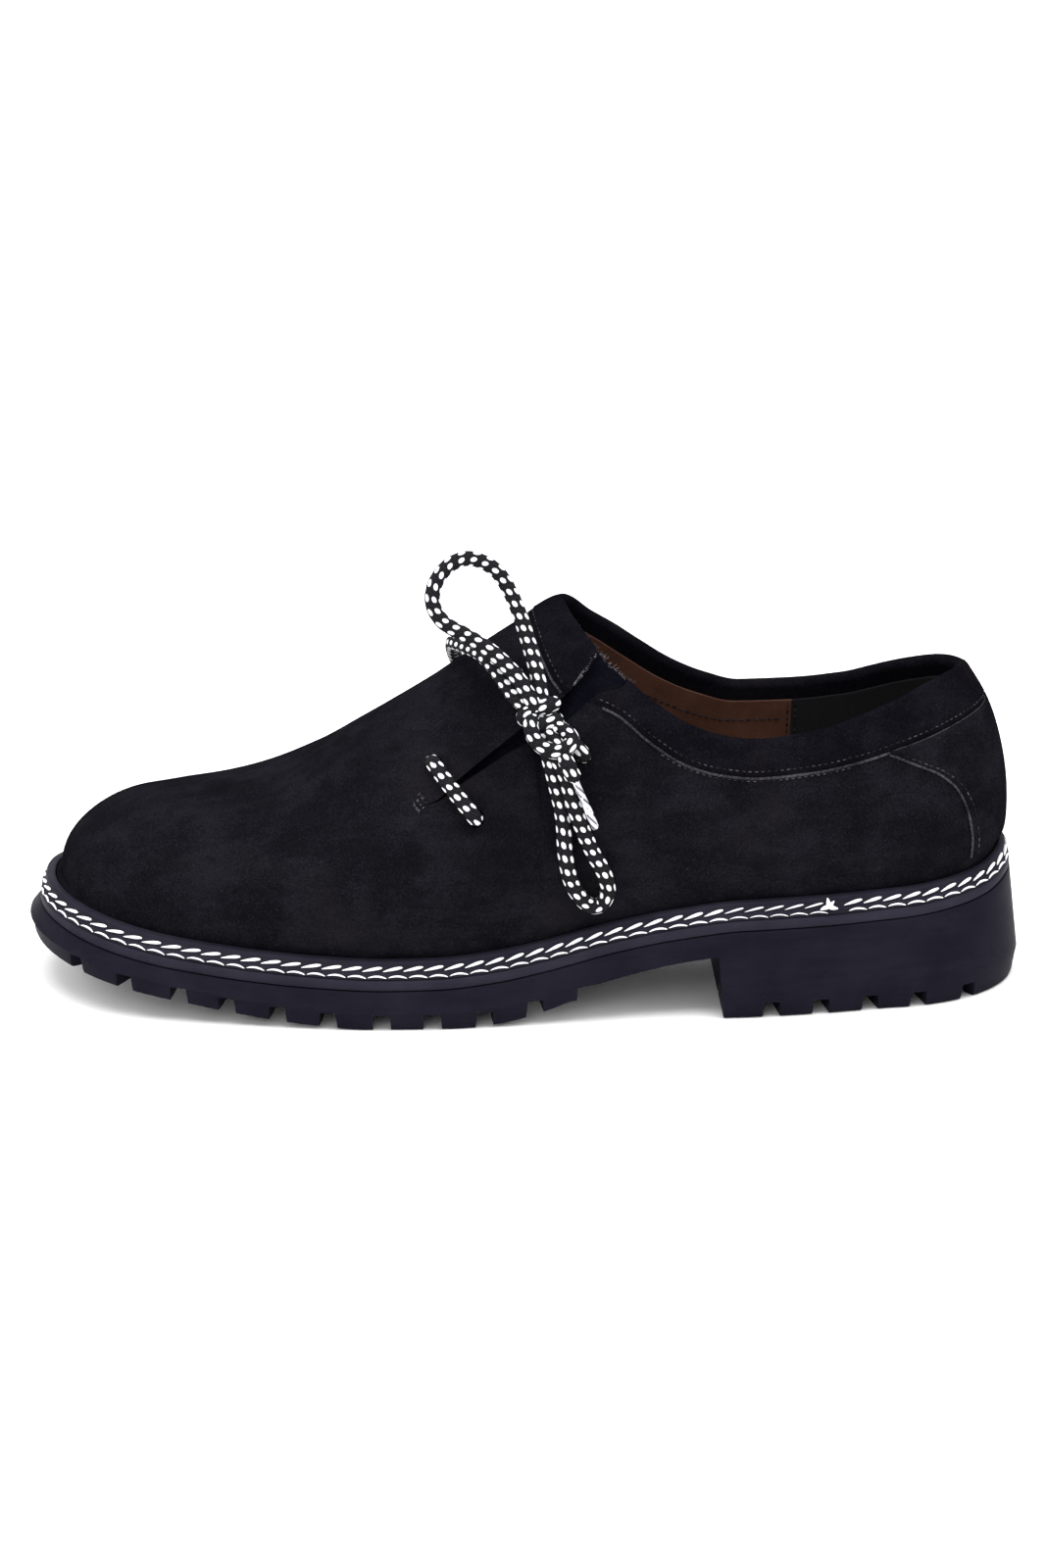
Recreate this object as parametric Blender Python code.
"""Left side-laced folk shoe: black suede upper on a lugged rubber sole.

Units are metres and +Z is up. The toe points along -X and the outer side of the foot is -Y.
The origin is on the floor, under the middle of the sole.
"""

from collections import namedtuple
from math import cos, pi, sin

import bmesh
import bpy
from mathutils import Vector

MM = 0.001

# Driving sizes of the last
LAST_LENGTH = 285 * MM  # along the feather line, heel to toe
BALL_WIDTH = 90 * MM  # between the feather lines at the ball
INSTEP_HEIGHT = 94 * MM  # crest above the seat, at the throat
BULGE = 3.2 * MM  # how far the sides swell past the feather line
BULGE_HEIGHT = 15 * MM
HEEL_POLE = 0.12  # the last is rounded about these two stations
TOE_POLE = 0.86
TOE_ROUND = 2.2

# Heights of the seat, where the upper meets the welt
HEEL_SEAT = 42.0 * MM
FOREPART_SEAT = 19.3 * MM
TOE_SEAT = 32.0 * MM

# Upper and its pieces
WALL = 1.8 * MM
GAP = 0.3 * MM
SLIT_REACH = -6 * MM  # Y that the slit's cut stops at, short of the instep's crest
COLLAR_PROUD = 1.0 * MM
COLLAR_DEPTH = 3.0 * MM
COUNTER_WALL = 1.1 * MM
COUNTER_DROP = 4 * MM  # the counter starts this far above the welt
TONGUE_DEPTH = 4.8 * MM
TONGUE_WALL = 1.4 * MM
TONGUE_BACK = 0.42  # the tongue's stations, and its angles round the last
TONGUE_FRONT = 0.66
TONGUE_LOW_BACK = 0.42
TONGUE_LOW_FRONT = 0.30
TONGUE_TOP = 1.35
FOOT_DEPTH = 4.2 * MM  # the upper goes down inside the welt
TOPLINE_BACK = 103 * MM
LACE = 4.4 * MM
EYELET = 5.8 * MM
BAR_LIFT = 2.7 * MM  # the lace's centre above the upper
KNOT_LIFT = 4.95 * MM
KNOT_WIDTH = 9.2 * MM
KNOT_DEPTH = 5.2 * MM
AGLET = 2.6 * MM
AGLET_LENGTH = 17 * MM

# Sole unit
WELT_LIP = 3.2 * MM
WELT_REACH = 6.0 * MM
WELT_DROP = 4.6 * MM
MIDSOLE_REACH = 6.2 * MM
MIDSOLE_DROP = 7.8 * MM
OUTSOLE_REACH = 6.6 * MM
OUTSOLE_FLARE = 3.0 * MM
LUG_INSET = 1.2 * MM
LUG_HEIGHT = 4.9 * MM
LUG_PITCH = 14.7 * MM
LUG_GROOVE = 4.7 * MM
LUG_DRAFT = 1.3  # how much wider a gap's cut is below the floor than at its top
LUG_INNER = 13 * MM  # from the feather line in to the channel
CHANNEL = 4 * MM
CHANNEL_HEIGHT = 3.5 * MM
BAR_DEPTH = 2.8 * MM
TREAD_CHAMFER = 1.2 * MM
WAIST_ARCH = 19.2 * MM
TOE_TREAD = 14.5 * MM
BREAST = 0.310  # the heel's front edge, on the outer side
BREAST_SKEW = 0.008  # how much further back it is on the inner side
BREAST_DRAFT = 1.6 * MM  # how far it leans back down to the floor
HEEL_GAPS = (0.255, 0.035)  # the first and last gap between the heel's lugs
TREAD_END = 0.455
TREAD_GAPS = (0.501, 0.985)
HEEL_BARS = (0.12, 0.17, 0.22, 0.27)
TREAD_BARS = 7
TREAD_BAR_FIRST = 0.527
TREAD_BAR_STEP = 0.0515
INSOLE_WALL = 3 * MM
EDGE_EASE = 0.4 * MM  # the midsole's eased upper edge
WELT_CROWN = 0.2 * MM  # how far the welt's lip stands above the feather line
BAND_EDGE = 1.2 * MM  # the welt's thickness at its outer edge

# The last, a row for each section from heel to toe. Half widths and the crest's place are shares of
# BALL_WIDTH, crest is a share of INSTEP_HEIGHT above the seat, bulge is a share of BULGE, and square
# is the exponent of the section's curve.
Section = namedtuple("Section", "station lateral medial crest_y crest bulge square")
LAST = (
    Section(0.00, 0.310, 0.310, 0.000, 0.740, 0.45, 2.0),
    Section(0.12, 0.330, 0.335, 0.000, 0.780, 0.75, 2.0),
    Section(0.20, 0.372, 0.350, 0.005, 0.835, 0.85, 2.0),
    Section(0.28, 0.400, 0.340, 0.010, 0.885, 0.80, 2.0),
    Section(0.35, 0.406, 0.325, 0.020, 0.935, 0.75, 2.0),
    Section(0.42, 0.412, 0.335, 0.030, 0.965, 0.75, 1.95),
    Section(0.465, 0.422, 0.355, 0.040, 0.970, 0.75, 1.9),
    Section(0.50, 0.432, 0.380, 0.045, 0.935, 0.80, 1.9),
    Section(0.55, 0.444, 0.425, 0.050, 0.862, 0.85, 1.95),
    Section(0.60, 0.452, 0.475, 0.055, 0.765, 0.90, 2.0),
    Section(0.66, 0.450, 0.520, 0.062, 0.650, 0.95, 2.05),
    Section(0.72, 0.430, 0.540, 0.070, 0.530, 0.90, 2.15),
    Section(0.79, 0.395, 0.540, 0.080, 0.425, 0.70, 2.25),
    Section(0.86, 0.353, 0.525, 0.095, 0.362, 0.35, 2.3),
    Section(0.93, 0.325, 0.510, 0.100, 0.310, -0.10, 2.3),
    Section(1.00, 0.290, 0.510, 0.105, 0.225, -0.45, 2.3),
)

# The seat and the sole's underside. Heel and toe are shares of the rise from the forepart's seat to
# the heel's and the toe's, and reach scales the sole's overhang.
Seat = namedtuple("Seat", "station heel toe reach")
SEAT = (
    Seat(0.00, 1.000, 0.000, 0.62),
    Seat(0.03, 0.850, 0.000, 0.68),
    Seat(0.08, 0.760, 0.000, 0.78),
    Seat(0.13, 0.705, 0.000, 0.84),
    Seat(0.20, 0.680, 0.000, 0.86),
    Seat(0.28, 0.665, 0.000, 0.86),
    Seat(0.35, 0.570, 0.000, 0.86),
    Seat(0.42, 0.405, 0.000, 0.88),
    Seat(0.49, 0.195, 0.000, 0.92),
    Seat(0.55, 0.062, 0.000, 0.96),
    Seat(0.60, 0.010, 0.000, 1.00),
    Seat(0.65, 0.000, 0.000, 1.00),
    Seat(0.72, 0.000, 0.045, 1.00),
    Seat(0.79, 0.000, 0.150, 1.00),
    Seat(0.86, 0.000, 0.335, 1.00),
    Seat(0.92, 0.000, 0.590, 0.95),
    Seat(0.97, 0.000, 0.830, 0.85),
    Seat(1.00, 0.000, 1.000, 0.80),
)
Tread = namedtuple("Tread", "station waist toe")
TREAD = (
    Tread(BREAST, 0.00, 0.00),
    Tread(TREAD_END, 0.36, 0.00),
    Tread(0.490, 0.21, 0.00),
    Tread(0.530, 0.06, 0.00),
    Tread(0.570, 0.00, 0.00),
    Tread(0.670, 0.00, 0.00),
    Tread(0.740, 0.00, 0.09),
    Tread(0.800, 0.00, 0.24),
    Tread(0.870, 0.00, 0.47),
    Tread(0.930, 0.00, 0.70),
    Tread(1.000, 0.00, 1.00),
)
Arch = namedtuple("Arch", "station rise")
ARCH = (Arch(BREAST, 1.0), Arch(0.35, 0.92), Arch(0.40, 0.77), Arch(TREAD_END, 0.58))

# Heights above the floor in the side view are shares of TOPLINE_BACK as far as BACK_END, and of a length
# that the instep's crest gives from THROAT_START on, where the crest at the throat is CREST_SHARE of it.
BACK_END = 0.20
THROAT_START = 0.40
CREST_SHARE = 1.1316

# The topline and the collar's seam
Line = namedtuple("Line", "station lateral medial")
TOPLINE = (
    Line(0.000, 0.945, 0.945),
    Line(0.050, 0.945, 0.935),
    Line(0.088, 0.925, 0.900),
    Line(0.124, 0.888, 0.868),
    Line(0.160, 0.855, 0.838),
    Line(0.215, 0.820, 0.818),
    Line(0.269, 0.808, 0.815),
    Line(0.305, 0.820, 0.843),
    Line(0.341, 0.855, 0.890),
    Line(0.378, 0.920, 0.960),
    Line(0.402, 0.972, 1.010),
    Line(0.430, 1.040, 1.065),
    Line(0.449, 1.095, 1.115),
    Line(0.465, 1.145, 1.145),
)
SEAM = (
    Line(0.000, 0.845, 0.845),
    Line(0.051, 0.812, 0.825),
    Line(0.106, 0.768, 0.780),
    Line(0.160, 0.730, 0.735),
    Line(0.215, 0.708, 0.712),
    Line(0.269, 0.700, 0.708),
    Line(0.305, 0.710, 0.726),
    Line(0.341, 0.738, 0.770),
    Line(0.378, 0.800, 0.840),
    Line(0.414, 0.877, 0.920),
    Line(0.440, 0.905, 0.965),
    Line(0.467, 0.925, 1.010),
    Line(0.484, 0.990, 1.045),
    Line(0.500, 1.095, 1.095),
)
TOPLINE_THROAT = TOPLINE[-1].station
SEAM_THROAT = SEAM[-1].station

# Side-view outlines of the slit, the counter's edge and the lace holes: a station and a height's share
SLIT_UPPER = (
    (0.6195, 0.622), (0.595, 0.650), (0.572, 0.707), (0.522, 0.810), (0.468, 0.916), (0.450, 0.973),
    (0.431, 1.044), (0.425, 1.22),
)
SLIT_LOWER = (
    (0.395, 1.22), (0.400, 0.975), (0.4325, 0.927), (0.465, 0.851), (0.522, 0.769), (0.572, 0.685), (0.595, 0.642),
)
COUNTER_EDGE = (
    (0.134, 0.80), (0.103, 0.714), (0.074, 0.645), (0.052, 0.580), (0.039, 0.518), (0.033, 0.449), (0.032, 0.30),
)
EYELETS = {
    "lower_front": (0.6005, 0.733),
    "lower_back": (0.5595, 0.599),
    "upper_front": (0.515, 0.960),
    "upper_back": (0.448, 0.767),
}

# The free laces, as steps from the knot in lace widths along X, Y and Z
KNOT_PLACE = (0.489, 0.838)
KNOT_AXIS = (0.13, -0.55, -0.83)
KNOT_TURNS = 1.5
KNOT_STEPS = 22
ROUTES = {
    "lace_loop_upper": (
        (0.06, 0.55, 1.52), (-0.12, 1.28, 2.80), (-0.58, 2.52, 4.48), (-1.14, 3.52, 6.24), (-1.83, 4.20, 7.89),
        (-2.66, 4.66, 9.19), (-3.70, 4.89, 9.88), (-4.80, 4.89, 10.10), (-5.99, 4.66, 9.63), (-6.85, 4.20, 8.55),
        (-7.00, 3.75, 7.26), (-6.30, 3.30, 6.16), (-4.88, 2.85, 5.40), (-3.28, 2.00, 4.55), (-1.70, 0.95, 3.20),
    ),
    "lace_loop_lower": (
        (0.34, -1.08, -1.42), (0.84, -1.60, -3.40), (1.34, -1.98, -5.72), (1.52, -2.34, -8.33), (1.98, -2.39, -10.38),
        (2.91, -2.30, -11.74), (3.83, -2.23, -11.91), (4.34, -2.30, -10.93), (4.06, -2.39, -9.59), (3.34, -2.34, -8.22),
        (2.62, -2.30, -6.52), (1.96, -2.39, -4.57), (1.58, -2.16, -3.08),
    ),
    "lace_end_front": (
        (-1.75, 0.95, 1.75), (-2.75, 2.40, 2.95), (-3.80, 4.30, 3.70), (-4.85, 6.40, 3.70), (-5.47, 8.30, 3.40),
        (-5.55, 10.11, 2.77), (-5.44, 11.93, 1.77), (-5.21, 13.30, 0.68),
    ),
    "lace_end_back": ((1.34, -1.82, -1.43), (1.66, -2.95, -1.95), (2.11, -3.07, -2.87)),
}
TIPS = {
    "aglet_front": ((-5.17, 13.48, 0.66), (-4.80, 16.40, -2.20)),
    "aglet_back": ((2.14, -3.07, -3.00), (3.53, -2.27, -6.54)),
}

# Ribs from heel to toe, as angles in the two rounded ends and stations between them
HEEL_FAN = 6
TOE_FAN = 7
SIDE_ROWS = 9
COLLAR_ROWS = 3
TONGUE_ROWS = 8
WAIST_STEPS = 8
HEEL_CHANNEL = (0.322, 0.26, 0.20, 0.16, HEEL_POLE)
TREAD_CHANNEL = (0.448, 0.50, 0.56, 0.62, 0.68, 0.74, 0.80, TOE_POLE)
SOLE_STATIONS = (0.49, 0.53, 0.57, 0.67)
BODY_STATIONS = (
    0.12, 0.16, 0.20, 0.24, 0.28, 0.315, 0.345, 0.375, 0.400, 0.425, 0.449, 0.465, 0.475, 0.487, 0.50,
    0.525, 0.555, 0.585, 0.62, 0.66, 0.70, 0.74, 0.78, 0.82, 0.86,
)
HEEL_WALK = 0.2
TOE_WALK = 0.8
LATERAL = -1
MEDIAL = 1


def read(table, column, station):
    """A column's value at a station, on a smooth curve that never overshoots its rows."""
    rows = [(row.station, getattr(row, column)) for row in table]
    if station <= rows[0][0]:
        return rows[0][1]
    if station >= rows[-1][0]:
        return rows[-1][1]
    slopes = [(b[1] - a[1]) / (b[0] - a[0]) for a, b in zip(rows, rows[1:])]
    i = max(k for k in range(len(slopes)) if rows[k][0] <= station)
    width = rows[i + 1][0] - rows[i][0]

    def tangent(k):
        if k == 0 or k == len(slopes):
            return slopes[min(k, len(slopes) - 1)]
        before, after = slopes[k - 1], slopes[k]
        return 0.0 if before * after <= 0 else 2 * before * after / (before + after)

    t = (station - rows[i][0]) / width
    return (
        rows[i][1] * (2 * t**3 - 3 * t**2 + 1)
        + rows[i + 1][1] * (3 * t**2 - 2 * t**3)
        + tangent(i) * width * (t**3 - 2 * t**2 + t)
        + tangent(i + 1) * width * (t**3 - t**2)
    )


def station_at(walk):
    """Station of a rib, where walk runs 0 to 1 along one side from heel to toe."""
    if walk < HEEL_WALK:
        return HEEL_POLE * (1 - cos(walk / HEEL_WALK * pi / 2))
    if walk > TOE_WALK:
        return TOE_POLE + (1 - TOE_POLE) * sin((walk - TOE_WALK) / (1 - TOE_WALK) * pi / 2)
    return HEEL_POLE + (walk - HEEL_WALK) / (TOE_WALK - HEEL_WALK) * (TOE_POLE - HEEL_POLE)


def walk_at(station):
    """Walk of a station between the two rounded ends."""
    return HEEL_WALK + (station - HEEL_POLE) / (TOE_POLE - HEEL_POLE) * (TOE_WALK - HEEL_WALK)


def seat(station):
    return (
        FOREPART_SEAT
        + (HEEL_SEAT - FOREPART_SEAT) * read(SEAT, "heel", station)
        + (TOE_SEAT - FOREPART_SEAT) * read(SEAT, "toe", station)
    )


def crest(station):
    return seat(station) + INSTEP_HEIGHT * read(LAST, "crest", station)


def height_at(station, share):
    """Height of a place in the side view, from the tables' shares."""
    throat = crest(TOPLINE_THROAT) / CREST_SHARE
    blend = min(max((station - BACK_END) / (THROAT_START - BACK_END), 0.0), 1.0)
    return share * (TOPLINE_BACK + (throat - TOPLINE_BACK) * blend)


def along(station):
    """X of a station."""
    return HEEL_X - station * LAST_LENGTH


def station_of(x):
    return (HEEL_X - x) / LAST_LENGTH


def feather(side, walk):
    """The feather line in plan, before the axis is centred."""
    station = station_at(walk)
    lateral, medial = (read(LAST, name, station) * BALL_WIDTH for name in ("lateral", "medial"))
    end = 1.0
    if walk < HEEL_WALK:
        end = sin(walk / HEEL_WALK * pi / 2)
    elif walk > TOE_WALK:
        end = (1 - min(1.0, sin((walk - TOE_WALK) / (1 - TOE_WALK) * pi / 2)) ** TOE_ROUND) ** (1 / TOE_ROUND)
    middle = (medial - lateral) / 2
    return Vector((along(station), middle + side * (medial + lateral) / 2 * end, 0))


def outline(side, walk, margin):
    """A point of the feather line moved outwards in plan by margin."""
    step = 0.002
    ahead, behind = min(1.0, walk + step), max(0.0, walk - step)
    run = feather(side, ahead) - feather(side, behind)
    if walk - step < 0:
        run = Vector((0, side, 0))
    elif walk + step > 1:
        run = Vector((0, -side, 0))
    out = Vector((-run.y, run.x, 0)).normalized() * -side
    return feather(side, walk) + out * margin + Vector((0, AXIS_Y, 0))


def spine(walk):
    """The crest line's place in plan for a rib."""
    station = min(max(station_at(walk), HEEL_POLE), TOE_POLE)
    return Vector((along(station), read(LAST, "crest_y", station) * BALL_WIDTH + AXIS_Y, 0))


def sole_reach(station):
    return read(SEAT, "reach", station)


def swell_height(swell):
    """How far above the seat a rib is widest."""
    return BULGE_HEIGHT * (0.35 + 0.65 * min(1.0, swell))


def last_point(side, walk, angle):
    """A point of the last. Angle is -2 at the foot, -1 at the feather line, 0 at the widest, pi/2 at the crest."""
    station = station_at(walk)
    base = outline(side, walk, 0)
    low = seat(station)
    if angle < -1:
        return Vector((base.x, base.y, low + (angle + 1) * FOOT_DEPTH))
    swell = read(LAST, "bulge", station)
    wide = outline(side, walk, BULGE * swell)
    rise = swell_height(swell)
    if angle < 0:
        share = 1 - angle**2
        point = base.lerp(wide, share)
        point.z = low + rise * (angle + 1)
        return point
    power = 2 / read(LAST, "square", station)
    centre = spine(walk)
    point = centre.lerp(wide, max(0.0, cos(angle)) ** power)
    point.z = low + rise + (crest(station_of(point.x)) - low - rise) * max(0.0, sin(angle)) ** power
    return point


def last_normal(side, walk, angle):
    """Outward normal of the last."""
    if angle > pi / 2 - 0.02:
        x = spine(walk).x
        step = 2 * MM
        rise = crest(station_of(x + step)) - crest(station_of(x - step))
        return Vector((-rise, 0, 2 * step)).normalized()
    if angle <= -1:
        out = outline(side, walk, MM) - outline(side, walk, 0)
        return out.normalized()
    step = 0.01
    if walk <= step:
        run = last_point(side, walk + step, angle) - last_point(-side, walk + step, angle)
    elif walk >= 1 - step:
        run = last_point(-side, walk - step, angle) - last_point(side, walk - step, angle)
    else:
        run = last_point(side, walk + step, angle) - last_point(side, walk - step, angle)
    up = last_point(side, walk, min(angle + step, pi / 2)) - last_point(side, walk, max(angle - step, -1))
    normal = run.cross(up).normalized()
    centre, here = spine(walk), last_point(side, walk, angle)
    out = Vector((here.x - centre.x, here.y - centre.y, max(0.0, sin(angle)) * BULGE_HEIGHT))
    return normal if normal.dot(out) > 0 else -normal


def on_last(side, walk, angle, lift):
    return last_point(side, walk, angle) + last_normal(side, walk, angle) * lift


def angle_at_height(side, walk, line):
    """The angle at which a rib reaches a line given as a height for each station."""
    name = "lateral" if side == LATERAL else "medial"
    low, high = 0.0, pi / 2
    for _ in range(40):
        middle = (low + high) / 2
        point = last_point(side, walk, middle)
        station = station_of(point.x)
        if point.z < height_at(station, read(line, name, station)):
            low = middle
        else:
            high = middle
    return low


def line_angle(side, walk, line):
    """Where a rib meets a line round the opening, or the crest in front of its throat."""
    if station_at(walk) >= line[-1].station - 1e-6:
        return pi / 2
    return angle_at_height(side, walk, line)


def fan_walks():
    heel = [HEEL_WALK * i / HEEL_FAN for i in range(HEEL_FAN)]
    toe = [TOE_WALK + (1 - TOE_WALK) * (i + 1) / TOE_FAN for i in range(TOE_FAN)]
    return heel, toe


def last_walks():
    heel, toe = fan_walks()
    return heel + [walk_at(s) for s in BODY_STATIONS] + toe


def around(walks):
    """Ribs in one round: the lateral side from heel to toe, then the medial side back."""
    back = [w for w in reversed(walks) if 0 < w < 1]
    return [(LATERAL, w) for w in walks] + [(MEDIAL, w) for w in back]


def add_object(name, mesh):
    made = bpy.data.objects.new(name, mesh)
    bpy.context.scene.collection.objects.link(made)
    return made


def finish_mesh(bm, name, sharp=0.6):
    """Joins doubled points, drops what they flatten and points every face outwards."""
    bmesh.ops.remove_doubles(bm, verts=bm.verts, dist=1e-6)
    bmesh.ops.recalc_face_normals(bm, faces=bm.faces)
    mesh = bpy.data.meshes.new(name)
    bm.to_mesh(mesh)
    bm.free()
    mesh.shade_smooth()
    mesh.set_sharp_from_angle(angle=sharp)
    return add_object(name, mesh)


def skin(name, ribs, closed):
    """A solid from ribs: lists of (outer point, inner point, at the crest) from bottom to top."""
    bm = bmesh.new()
    grid = [[(bm.verts.new(o), bm.verts.new(i), top) for o, i, top in rib] for rib in ribs]
    pairs = list(zip(grid, grid[1:] + grid[:1] if closed else grid[1:]))
    for a, b in pairs:
        for k in range(len(a) - 1):
            bm.faces.new((a[k][0], b[k][0], b[k + 1][0], a[k + 1][0]))
            bm.faces.new((a[k + 1][1], b[k + 1][1], b[k][1], a[k][1]))
        bm.faces.new((a[0][0], a[0][1], b[0][1], b[0][0]))
        if not (a[-1][2] and b[-1][2]):
            bm.faces.new((a[-1][0], b[-1][0], b[-1][1], a[-1][1]))
    if not closed:
        for end in (grid[0], grid[-1]):
            for k in range(len(end) - 1):
                bm.faces.new((end[k][0], end[k + 1][0], end[k + 1][1], end[k][1]))
    return finish_mesh(bm, name)


def wall_rib(side, walk, angles, lift_out, lift_in):
    return [
        (on_last(side, walk, a, lift_out), on_last(side, walk, a, lift_in), a >= pi / 2 - 1e-6)
        for a in angles
    ]


def spread(low, high, count):
    return [low + (high - low) * i / count for i in range(count + 1)]


def upper_angles(side, walk):
    """Rows of the upper on a rib, from its foot to the collar's seam or the crest."""
    top = line_angle(side, walk, SEAM)
    return [-2, -1, -0.5] + spread(0.0, top, SIDE_ROWS)


def make_upper():
    ribs = [wall_rib(s, w, upper_angles(s, w), 0.0, -WALL) for s, w in around(last_walks())]
    return skin("upper", ribs, closed=True)


def collar_angles(side, walk):
    """Rows of the collar on a rib, a gap above the upper's edge."""
    low = line_angle(side, walk, SEAM)
    high = line_angle(side, walk, TOPLINE)
    step = 0.01
    rise = (last_point(side, walk, low) - last_point(side, walk, low - step)).length
    low = min(low + GAP * 1.2 * step / rise, high)
    return spread(low, high, COLLAR_ROWS)


def make_collar():
    walks = [w for w in last_walks() if station_at(w) < SEAM_THROAT - 1e-6]
    last = walk_at(SEAM_THROAT - 0.0015)
    walks = walks + [last]
    ring = [(LATERAL, w) for w in reversed(walks)] + [(MEDIAL, w) for w in walks if w > 0]
    ribs = [wall_rib(s, w, collar_angles(s, w), COLLAR_PROUD, -COLLAR_DEPTH) for s, w in ring]
    return skin("collar", ribs, closed=True)


def side_outline(points):
    """Side-view points, given by station and height share, in metres."""
    return [(along(s), height_at(s, h)) for s, h in points]


def prism(name, points, y_low, y_high):
    """A cutter: a side-view outline run from one Y to another."""
    bm = bmesh.new()
    base = bm.faces.new([bm.verts.new((x, y_low, z)) for x, z in points])
    more = bmesh.ops.extrude_face_region(bm, geom=[base])
    moved = [v for v in more["geom"] if isinstance(v, bmesh.types.BMVert)]
    bmesh.ops.translate(bm, verts=moved, vec=(0, y_high - y_low, 0))
    return as_cutter(finish_mesh(bm, name))


def cut(target, cutter, operation="DIFFERENCE"):
    made = target.modifiers.new(cutter.name, "BOOLEAN")
    made.operation = operation
    made.object = cutter
    made.solver = "EXACT"
    return made


def side_point(side, place, lift):
    """A point on one side at a station and height share, and the last's normal there."""
    station, height = place
    walk = walk_at(station)
    low, high = 0.0, pi / 2
    for _ in range(40):
        middle = (low + high) / 2
        if last_point(side, walk, middle).z < height_at(station, height):
            low = middle
        else:
            high = middle
    return on_last(side, walk, low, lift), last_normal(side, walk, low)


def make_eyelet_cutter():
    """Four round punches, square to the leather."""
    bm = bmesh.new()
    for place in EYELETS.values():
        point, normal = side_point(LATERAL, place, 0)
        turn = normal.to_track_quat("Z", "Y").to_matrix().to_4x4()
        turn.translation = point
        bmesh.ops.create_cone(
            bm, cap_ends=True, segments=12, radius1=EYELET / 2, radius2=EYELET / 2, depth=6 * WALL, matrix=turn
        )
    return as_cutter(finish_mesh(bm, "eyelet_punch"))


def make_counter():
    """The heel counter, cut out of a shell over the upper."""
    heel, _ = fan_walks()
    walks = heel + [walk_at(s) for s in BODY_STATIONS if s <= 0.16]
    ring = [(LATERAL, w) for w in reversed(walks)] + [(MEDIAL, w) for w in walks if w > 0]
    ribs = []
    for side, walk in ring:
        angles = upper_angles(side, walk)[1:]
        station = station_at(walk)
        angles[0] = -1 + COUNTER_DROP / swell_height(read(LAST, "bulge", station))
        top = angles[-1]
        angles[-1] = top - (top - angles[-2]) * 0.2
        ribs.append(wall_rib(side, walk, angles, GAP + COUNTER_WALL, GAP))
    shell = skin("counter", ribs, closed=False)
    reach = BALL_WIDTH
    edge = side_outline(COUNTER_EDGE)
    behind, above = HEEL_X + reach / 2, edge[0][1] + reach
    region = edge + [(behind, edge[-1][1]), (behind, above), (edge[0][0], above)]
    cut(shell, prism("counter_pattern", region, -reach, reach), "INTERSECT")
    return shell


def make_tongue():
    """The gusset behind the slit, inside the upper's wall."""
    ribs = []
    for station in BODY_STATIONS:
        if not TONGUE_BACK <= station <= TONGUE_FRONT:
            continue
        walk = walk_at(station)
        high = min(line_angle(LATERAL, walk, TOPLINE), TONGUE_TOP)
        low = TONGUE_LOW_FRONT if station > SEAM_THROAT else TONGUE_LOW_BACK
        angles = spread(low, high, TONGUE_ROWS)
        ribs.append(wall_rib(LATERAL, walk, angles, -TONGUE_DEPTH, -TONGUE_DEPTH - TONGUE_WALL))
    return skin("tongue", ribs, closed=False)


def sole_walks():
    heel, toe = fan_walks()
    body = sorted({*BODY_STATIONS[::2], *SOLE_STATIONS, TREAD_END, TOE_POLE})
    return heel + [walk_at(s) for s in body] + toe


def plate(name, walks, levels):
    """A closed plate whose middle is on the spine. Levels(side, walk) gives its edge from top to bottom."""
    bm = bmesh.new()
    ribs = []
    for side, walk in around(walks):
        edge = [bm.verts.new(p) for p in levels(side, walk)]
        middle = spine(walk)
        top = bm.verts.new((middle.x, middle.y, levels_middle(levels, walk, 0)))
        bottom = bm.verts.new((middle.x, middle.y, levels_middle(levels, walk, -1)))
        ribs.append([top] + edge + [bottom])
    for a, b in zip(ribs, ribs[1:] + ribs[:1]):
        for k in range(len(a) - 1):
            bm.faces.new((a[k], a[k + 1], b[k + 1], b[k]))
    return finish_mesh(bm, name)


def levels_middle(levels, walk, index):
    """Height of a plate's middle: that of its edge beside the spine."""
    inner = min(max(walk, HEEL_WALK), TOE_WALK)
    return levels(LATERAL, inner)[index].z


def edge_point(side, walk, margin, height):
    point = outline(side, walk, margin)
    return Vector((point.x, point.y, height))


def tread(station):
    """Height of the tread above the floor."""
    if station < TREAD[0].station:
        return 0.0
    return WAIST_ARCH * read(TREAD, "waist", station) + TOE_TREAD * read(TREAD, "toe", station)


def loft(bm, rings):
    """Skins rings of equal count, in order, and caps both ends."""
    made = [[bm.verts.new(p) for p in ring] for ring in rings]
    for a, b in zip(made, made[1:]):
        for k in range(len(a)):
            m = (k + 1) % len(a)
            bm.faces.new((a[k], a[m], b[m], b[k]))
    bm.faces.new(made[0])
    bm.faces.new(reversed(made[-1]))


def as_cutter(made):
    made.hide_render = True
    made.display_type = "WIRE"
    return made


def make_waist_cutter():
    """The space between the heel's breast and the forepart's tread."""
    bm = bmesh.new()
    reach, floor = BALL_WIDTH, -LUG_HEIGHT
    rings = []
    for share in spread(0.0, 1.0, WAIST_STEPS):
        station = BREAST + (TREAD_END - BREAST) * share
        top = WAIST_ARCH * read(ARCH, "rise", station)
        lean = BREAST_DRAFT * (top - floor) / top if share == 0 else 0.0
        lateral, medial = along(station), along(station - BREAST_SKEW * (1 - share))
        rings.append([
            (lateral + lean, -reach, floor), (lateral, -reach, top), (medial, reach, top), (medial + lean, reach, floor),
        ])
    loft(bm, rings)
    return as_cutter(finish_mesh(bm, "waist_space"))


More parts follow.
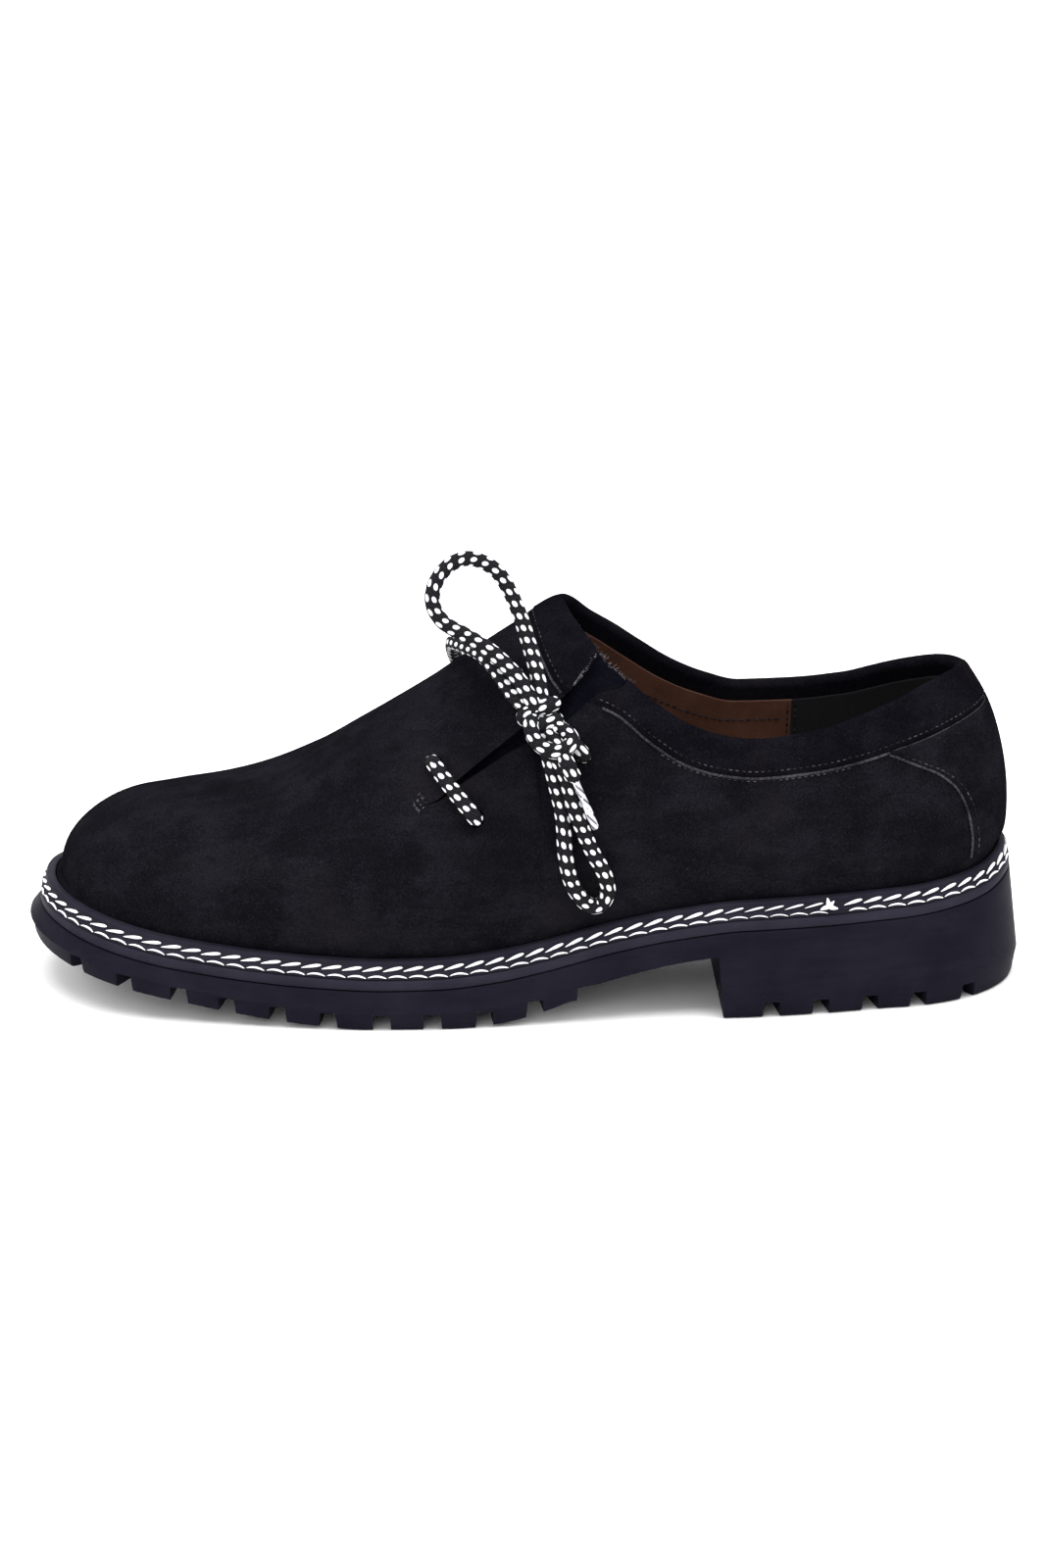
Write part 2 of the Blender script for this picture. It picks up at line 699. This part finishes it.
def pitched_walks(side, start, stop):
    """Walks from one station to another with a lug's pitch between them along the feather line."""
    walk, step, run = walk_at(start), 0.0005, 0.0
    walks = [walk]
    while step < walk < 1 - step and (stop - station_at(walk)) * (stop - start) > 0:
        ahead = walk + step if stop > start else walk - step
        run += (feather(side, ahead) - feather(side, walk)).length
        walk = ahead
        if run >= LUG_PITCH:
            walks.append(walk)
            run = 0.0
    return walks


def slot_ring(point, across, low, depth, draft=1.0):
    """A slot's section at a point: across to each side at its top, wider by draft below the floor."""
    top, floor = Vector((0, 0, low + depth)), Vector((0, 0, low - depth))
    wide = across * draft
    return [point - wide + floor, point + wide + floor, point + across + top, point - across + top]


def groove(bm, side, walk):
    """One gap between two lugs, square to the edge of the sole."""
    inner = outline(side, walk, -LUG_INNER - CHANNEL / 2)
    edge = outline(side, walk, 0)
    outer = outline(side, walk, 4 * OUTSOLE_REACH)
    run = (outer - inner).normalized()
    across = Vector((-run.y, run.x, 0)) * LUG_GROOVE / 2
    here = tread(station_at(walk))
    places = ((inner, tread(station_of(inner.x))), (edge, here), (outer, here))
    loft(bm, [slot_ring(point, across, low, LUG_HEIGHT, LUG_DRAFT) for point, low in places])


def make_groove_cutter():
    bm = bmesh.new()
    for side in (LATERAL, MEDIAL):
        for walk in pitched_walks(side, *HEEL_GAPS) + pitched_walks(side, *TREAD_GAPS):
            groove(bm, side, walk)
    return as_cutter(finish_mesh(bm, "lug_gaps"))


def make_channel_cutter():
    """The channel inside the outer lugs, on the forepart and on the heel."""
    bm = bmesh.new()
    heel, toe = fan_walks()
    back = [walk_at(s) for s in HEEL_CHANNEL] + heel[::-1]
    front = [walk_at(s) for s in TREAD_CHANNEL] + toe
    inner, outer = -LUG_INNER - CHANNEL, -LUG_INNER
    for walks in (back, front):
        rings = []
        for side, walk in around(walks):
            points = []
            for margin, level in ((outer, -1), (inner, -1), (inner, 1), (outer, 1)):
                point = outline(side, walk, margin)
                low = tread(max(TREAD_END, station_of(point.x))) if walks is front else 0.0
                points.append(point + Vector((0, 0, low + level * CHANNEL_HEIGHT)))
            rings.append(points)
        loft(bm, rings)
    return as_cutter(finish_mesh(bm, "tread_channel"))


def make_bar_cutter():
    """Grooves across the middle of the tread, from channel to channel."""
    bm = bmesh.new()
    margin = -LUG_INNER - CHANNEL / 2
    half = Vector((LUG_GROOVE / 2, 0, 0))
    stations = [*HEEL_BARS, *(TREAD_BAR_FIRST + TREAD_BAR_STEP * i for i in range(TREAD_BARS))]
    for station in stations:
        ends = [outline(side, walk_at(station), margin) for side in (LATERAL, MEDIAL)]
        loft(bm, [slot_ring(end, half, tread(station), BAR_DEPTH) for end in ends])
    return as_cutter(finish_mesh(bm, "tread_bars"))


def make_outsole():
    def levels(side, walk):
        station = station_at(walk)
        reach = sole_reach(station)
        top = seat(station) - MIDSOLE_DROP - GAP
        under = tread(station)
        lip = OUTSOLE_REACH * reach + OUTSOLE_FLARE
        return [
            edge_point(side, walk, OUTSOLE_REACH * reach, top),
            edge_point(side, walk, lip, under + LUG_HEIGHT + (top - under - LUG_HEIGHT) * 0.12),
            edge_point(side, walk, lip - LUG_INSET / 2, under + LUG_HEIGHT),
            edge_point(side, walk, lip - LUG_INSET, under + TREAD_CHAMFER),
            edge_point(side, walk, lip - LUG_INSET - TREAD_CHAMFER, under),
        ]

    outsole = plate("outsole", sole_walks(), levels)
    for cutter in (make_waist_cutter(), make_channel_cutter(), make_bar_cutter(), make_groove_cutter()):
        cut(outsole, cutter)
    return outsole


def make_midsole():
    def levels(side, walk):
        station = station_at(walk)
        reach = sole_reach(station)
        top = seat(station) - WELT_DROP
        return [
            edge_point(side, walk, MIDSOLE_REACH * reach - EDGE_EASE, top),
            edge_point(side, walk, MIDSOLE_REACH * reach, top - 1.5 * EDGE_EASE),
            edge_point(side, walk, MIDSOLE_REACH * reach, seat(station) - MIDSOLE_DROP),
        ]

    return plate("midsole", last_walks(), levels)


def make_welt():
    """The sloped strip round the upper, stitched in the photo."""
    bm = bmesh.new()
    ribs = []
    for side, walk in around(last_walks()):
        station = station_at(walk)
        reach = sole_reach(station)
        low = seat(station) - WELT_DROP + GAP
        section = [
            edge_point(side, walk, GAP, low),
            edge_point(side, walk, GAP, seat(station)),
            edge_point(side, walk, WELT_LIP * reach, seat(station) + WELT_CROWN),
            edge_point(side, walk, WELT_REACH * reach, low + BAND_EDGE),
            edge_point(side, walk, WELT_REACH * reach, low),
        ]
        ribs.append([bm.verts.new(p) for p in section])
    for a, b in zip(ribs, ribs[1:] + ribs[:1]):
        for k in range(len(a)):
            m = (k + 1) % len(a)
            bm.faces.new((a[k], a[m], b[m], b[k]))
    return finish_mesh(bm, "welt")


def make_insole():
    def levels(side, walk):
        station = station_at(walk)
        low = seat(station) - WELT_DROP + GAP
        margin = -WALL - 2 * GAP
        return [
            edge_point(side, walk, margin, low + INSOLE_WALL),
            edge_point(side, walk, margin, low),
        ]

    return plate("insole", last_walks(), levels)


def smooth_route(points, spacing):
    """A smooth curve through the points, read at about one spacing."""
    points = [Vector(p) for p in points]
    path = [points[0] * 2 - points[1]] + points + [points[-1] * 2 - points[-2]]
    route = []
    for i in range(1, len(path) - 2):
        a, b, c, d = path[i - 1 : i + 3]
        count = max(1, round((c - b).length / spacing))
        for k in range(count):
            t = k / count
            turn = (2 * a - 5 * b + 4 * c - d) * t**2 + (3 * b - a - 3 * c + d) * t**3
            route.append(0.5 * (2 * b + (c - a) * t + turn))
    route.append(points[-1])
    return route


def tube(name, points, diameter, sides=2):
    """A round cord on a smooth curve, with closed ends."""
    curve = bpy.data.curves.new(name, "CURVE")
    curve.dimensions = "3D"
    curve.bevel_depth = diameter / 2
    curve.bevel_resolution = sides
    curve.use_fill_caps = True
    spline = curve.splines.new("POLY")
    spline.points.add(len(points) - 1)
    for target, point in zip(spline.points, points):
        target.co = (*point, 1.0)
    spline.use_smooth = True
    return add_object(name, curve)


def hole_bend(here, there):
    """A lace's way out of one hole and over towards another."""
    base, normal = side_point(LATERAL, here, 0)
    run = side_point(LATERAL, there, 0)[0] - base
    run = (run - normal * run.dot(normal)).normalized()
    bend = BAR_LIFT - GAP
    points = [base + normal * level for level in (-1.4 * WALL, -0.6 * WALL, GAP)]
    for angle in (pi / 6, pi / 3, pi / 2):
        points.append(base + normal * (GAP + bend * sin(angle)) + run * bend * (1 - cos(angle)))
    return points


def bar_middle(start, end, low, high, steps):
    """Points over the upper between two holes, for shares low to high of the way."""
    points = []
    for t in spread(low, high, steps):
        place = tuple(a + (b - a) * t for a, b in zip(start, end))
        points.append(side_point(LATERAL, place, BAR_LIFT + GAP)[0])
    return points


def make_laces():
    """The bars, the knot over the slit, its two loops and two ends, and the ends' tips."""
    lower = EYELETS["lower_front"], EYELETS["lower_back"]
    upper = EYELETS["upper_front"], EYELETS["upper_back"]
    whole = hole_bend(*lower) + bar_middle(*lower, 0.35, 0.65, 2) + hole_bend(*lower[::-1])[::-1]
    made = [
        tube("lace_bar_lower", whole, LACE),
        tube("lace_bar_front", hole_bend(*upper) + bar_middle(*upper, 0.22, 0.28, 1), LACE),
        tube("lace_bar_back", bar_middle(*upper, 0.78, 0.84, 1) + hole_bend(*upper[::-1])[::-1], LACE),
    ]
    knot, normal = side_point(LATERAL, KNOT_PLACE, KNOT_LIFT)
    axis = Vector(KNOT_AXIS)
    axis = (axis - normal * axis.dot(normal)).normalized()
    across = normal.cross(axis)
    coil = []
    for t in spread(0.0, 1.0, KNOT_STEPS):
        angle = 2 * pi * KNOT_TURNS * t
        rise = (t - 0.5) * KNOT_TURNS * (LACE + 2 * GAP)
        beside = across * cos(angle) * KNOT_WIDTH / 2 + normal * sin(angle) * KNOT_DEPTH / 2
        coil.append(knot + axis * rise + beside)
    made.append(tube("lace_knot", coil, LACE))
    for name, route in ROUTES.items():
        points = [knot + Vector(step) * LACE for step in route]
        made.append(tube(name, smooth_route(points, 2 * LACE), LACE))
    for name, (start, aim) in TIPS.items():
        start, aim = (knot + Vector(step) * LACE for step in (start, aim))
        run = (aim - start).normalized() * AGLET_LENGTH
        made.append(tube(name, [start, start + run / 2, start + run], AGLET))
    return made


def material(name, colour, roughness, metallic=0.0):
    made = bpy.data.materials.new(name)
    made.use_nodes = True
    shader = made.node_tree.nodes["Principled BSDF"]
    shader.inputs["Base Color"].default_value = (*colour, 1.0)
    shader.inputs["Roughness"].default_value = roughness
    shader.inputs["Metallic"].default_value = metallic
    return made


def sole_extent():
    """Lowest and highest Y of the sole's widest line, before the axis is centred."""
    ys = []
    for side in (LATERAL, MEDIAL):
        for i in range(201):
            walk = i / 200
            margin = OUTSOLE_REACH * sole_reach(station_at(walk)) + OUTSOLE_FLARE
            ys.append(outline(side, walk, margin).y)
    return min(ys), max(ys)


HEEL_MARGIN = OUTSOLE_REACH * SEAT[0].reach + OUTSOLE_FLARE
TOE_MARGIN = OUTSOLE_REACH * SEAT[-1].reach + OUTSOLE_FLARE
HEEL_X = (LAST_LENGTH + TOE_MARGIN - HEEL_MARGIN) / 2
AXIS_Y = 0.0
AXIS_Y = -sum(sole_extent()) / 2


def main():
    for old in list(bpy.data.objects):
        bpy.data.objects.remove(old)
    suede = material("suede", (0.012, 0.012, 0.014), 0.95)
    rubber = material("rubber", (0.025, 0.024, 0.032), 0.55)
    leather = material("lining_leather", (0.20, 0.085, 0.04), 0.6)
    cotton = material("lace_cotton", (0.12, 0.12, 0.13), 0.85)
    tip = material("aglet_film", (0.60, 0.60, 0.62), 0.3)
    upper = make_upper()
    collar = make_collar()
    counter = make_counter()
    tongue = make_tongue()
    slit = side_outline(SLIT_UPPER + SLIT_LOWER)
    slit_cutter = prism("slit_knife", slit, -BALL_WIDTH, SLIT_REACH)
    cut(upper, slit_cutter)
    cut(collar, slit_cutter)
    cut(upper, make_eyelet_cutter())
    outsole = make_outsole()
    midsole = make_midsole()
    welt = make_welt()
    insole = make_insole()
    laces = make_laces()
    for made in (upper, collar, counter, tongue):
        made.data.materials.append(suede)
    for made in (outsole, midsole, welt):
        made.data.materials.append(rubber)
    insole.data.materials.append(leather)
    for made in laces:
        made.data.materials.append(tip if made.name.startswith("aglet") else cotton)


main()
